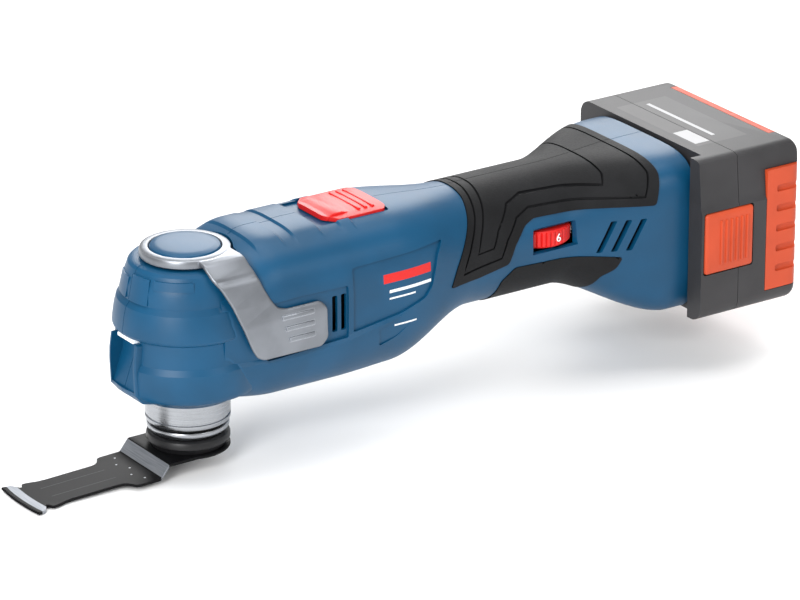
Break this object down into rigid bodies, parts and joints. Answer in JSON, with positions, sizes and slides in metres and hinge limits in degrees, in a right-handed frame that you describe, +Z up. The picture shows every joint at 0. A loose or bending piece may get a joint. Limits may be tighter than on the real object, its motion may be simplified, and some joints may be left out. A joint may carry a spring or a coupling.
{
  "type": "oscillating multi tool",
  "caption": "Cordless oscillating multi tool with a barrel grip, side clamping lever, plunge blade, slide switch, speed dial and slide-on battery pack.",
  "frame": {"origin": "centre of the clamp rod's flat end face, on the spindle axis under the blade", "axes": "+Z up along the spindle towards the lever ring, +X back along the barrel towards the battery pack, -Y the side with the lever's finger tab and the speed dial"},
  "size_m": [0.3822, 0.1037, 0.1039],
  "materials": {
    "blue_housing": "satin moulded",
    "grip_rubber": "matt",
    "black_plastic": "satin moulded",
    "red_plastic": "satin moulded",
    "silver_metal": "fine blasted",
    "steel": "ground",
    "blade_coating": "black coating",
    "pack_plastic": "fine textured",
    "bumper_plastic": "fine textured",
    "lens": "frosted",
    "circuit_board": "solder mask",
    "copper": "wound and plated",
    "cell_wrap": "shrink wrap"
  },
  "bodies": {
    "tool_body": {"left_housing": "blue_housing", "right_housing": "blue_housing", "left_grip": "grip_rubber", "right_grip": "grip_rubber", "left_belly_grip": "grip_rubber", "right_belly_grip": "grip_rubber", "led_lens": "lens", "led_board": "circuit_board", "housing_screw_1": "steel", "housing_screw_2": "steel", "housing_screw_3": "steel", "housing_screw_4": "steel", "housing_screw_5": "steel", "housing_screw_6": "steel", "housing_screw_7": "steel", "gearbox_housing": "silver_metal", "upper_spindle_bearing": "steel", "lower_spindle_bearing": "steel", "neck_seal": "grip_rubber", "stator": "copper", "motor_housing": "black_plastic", "front_motor_bearing": "steel", "rear_motor_bearing": "steel", "power_switch": "black_plastic", "dial_potentiometer": "black_plastic", "control_board": "circuit_board", "heat_sink": "silver_metal", "battery_socket": "black_plastic", "terminal_plus": "copper", "terminal_minus": "copper"},
    "spindle": {"spindle": "steel", "fork_lever": "steel", "tool_holder": "silver_metal"},
    "clamp_rod": {"clamp_rod": "steel", "clamp_spring": "steel"},
    "blade": {"blade": "blade_coating", "blade_hub": "blade_coating"},
    "lever": {"clamp_lever": "silver_metal", "lever_cap": "blue_housing", "lever_cam": "steel"},
    "rotor": {"rotor_shaft": "steel", "rotor_core": "steel", "cooling_fan": "black_plastic", "balance_weight": "steel", "eccentric_bearing": "steel"},
    "slider": {"power_slider": "red_plastic", "slider_link": "black_plastic"},
    "dial": {"speed_dial": "red_plastic"},
    "pack": {"pack_cover": "pack_plastic", "pack_base": "pack_plastic", "pack_bumper": "bumper_plastic", "cell_1": "cell_wrap", "cell_2": "cell_wrap", "cell_3": "cell_wrap", "cell_4": "cell_wrap", "cell_5": "cell_wrap"},
    "pack_button": {"release_button": "bumper_plastic"}
  },
  "joints": [
    {"name": "spindle_oscillation", "type": "hinge", "parent": "tool_body", "child": "spindle", "pos_m": [0, 0, 0.0626], "axis": [0, 0, 1], "range_deg": [-1.8, 1.8]},
    {"name": "clamp_rod_press", "type": "slide", "parent": "spindle", "child": "clamp_rod", "axis": [0, 0, -1], "range_m": [0, 0.0025], "deforming": ["clamp_spring"]},
    {"name": "blade_release", "type": "slide", "parent": "spindle", "child": "blade", "axis": [0, 0, -1], "range_m": [0, 0.02]},
    {"name": "lever_swing", "type": "hinge", "parent": "tool_body", "child": "lever", "pos_m": [0, 0, 0.0626], "axis": [0, 0, 1], "range_deg": [-100, 0]},
    {"name": "rotor_spin", "type": "hinge", "parent": "tool_body", "child": "rotor", "pos_m": [0.05, 0, 0.0626], "axis": [1, 0, 0], "continuous": true},
    {"name": "power_slide", "type": "slide", "parent": "tool_body", "child": "slider", "axis": [-1, 0, 0], "range_m": [0, 0.006]},
    {"name": "speed_dial_turn", "type": "hinge", "parent": "tool_body", "child": "dial", "pos_m": [0.176, -0.0128, 0.0626], "axis": [0, 0, 1], "range_deg": [-250, 0]},
    {"name": "pack_removal", "type": "slide", "parent": "tool_body", "child": "pack", "axis": [0, -1, 0], "range_m": [0, 0.11]},
    {"name": "pack_button_press", "type": "slide", "parent": "pack", "child": "pack_button", "axis": [0, 1, 0], "range_m": [0, 0.003], "stiffness_N_per_m": 700}
  ],
  "couplings": [
    {"joint": "clamp_rod_press", "follows": "lever_swing", "m_per_rad": -0.00143}
  ]
}
